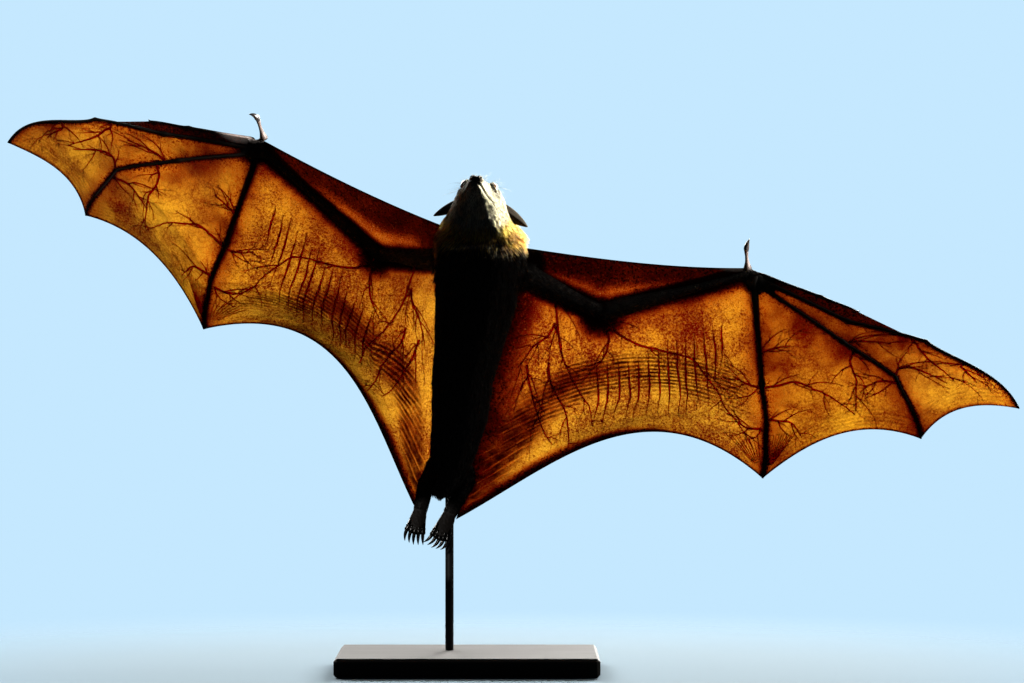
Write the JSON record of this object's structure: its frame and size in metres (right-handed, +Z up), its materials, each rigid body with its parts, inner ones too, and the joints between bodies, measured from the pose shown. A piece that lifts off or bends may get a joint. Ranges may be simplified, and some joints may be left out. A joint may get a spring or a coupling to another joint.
{
  "type": "flying fox bat",
  "caption": "Life-size flying fox in flight with its belly forward and wings spread, on a flat base with one rod.",
  "frame": {"origin": "middle of the underside of the stand's base", "axes": "+X towards the animal's left wing tip, -Y the way the belly faces, +Z up towards the head"},
  "size_m": [0.969, 0.2166, 0.5419],
  "materials": {
    "body_coat": "short dense dark fur",
    "collar_coat": "long golden russet fur",
    "face_coat": "short grey and cream fur",
    "wing_skin": "thin, bare, lets light through",
    "bare_skin": "dark, slightly shiny",
    "nose": "moist",
    "eye": "wet gloss",
    "claw": "polished horn",
    "stand_base": "black satin lacquer",
    "stand_rod": "black satin"
  },
  "bodies": {
    "root": {"digit_2_claw_left": "claw", "digit_2_claw_right": "claw", "digit_2_left": "bare_skin", "digit_2_right": "bare_skin", "digit_3_left": "bare_skin", "digit_3_right": "bare_skin", "digit_4_left": "bare_skin", "digit_4_right": "bare_skin", "digit_5_left": "bare_skin", "digit_5_right": "bare_skin", "ear_left": "bare_skin", "ear_right": "bare_skin", "eye_left": "eye", "eye_right": "eye", "foot_left": "bare_skin", "foot_right": "bare_skin", "forearm_left": "bare_skin", "forearm_right": "bare_skin", "head": "face_coat", "lower_jaw": "face_coat", "neck": "collar_coat", "nose": "nose", "panel_2_3_left": "wing_skin", "panel_2_3_right": "wing_skin", "panel_3_4_left": "wing_skin", "panel_3_4_right": "wing_skin", "panel_4_5_left": "wing_skin", "panel_4_5_right": "wing_skin", "plagiopatagium_left": "wing_skin", "plagiopatagium_right": "wing_skin", "propatagium_left": "wing_skin", "propatagium_right": "wing_skin", "shank_left": "body_coat", "shank_right": "body_coat", "stand_base": "stand_base", "stand_rod": "stand_rod", "thigh_left": "body_coat", "thigh_right": "body_coat", "thumb_claw_left": "claw", "thumb_claw_right": "claw", "thumb_left": "bare_skin", "thumb_right": "bare_skin", "toe_claw_1_left": "claw", "toe_claw_1_right": "claw", "toe_claw_2_left": "claw", "toe_claw_2_right": "claw", "toe_claw_3_left": "claw", "toe_claw_3_right": "claw", "toe_claw_4_left": "claw", "toe_claw_4_right": "claw", "toe_claw_5_left": "claw", "toe_claw_5_right": "claw", "trunk": "body_coat", "upper_arm_left": "body_coat", "upper_arm_right": "body_coat", "wrist_left": "bare_skin", "wrist_right": "bare_skin"}
  },
  "joints": []
}
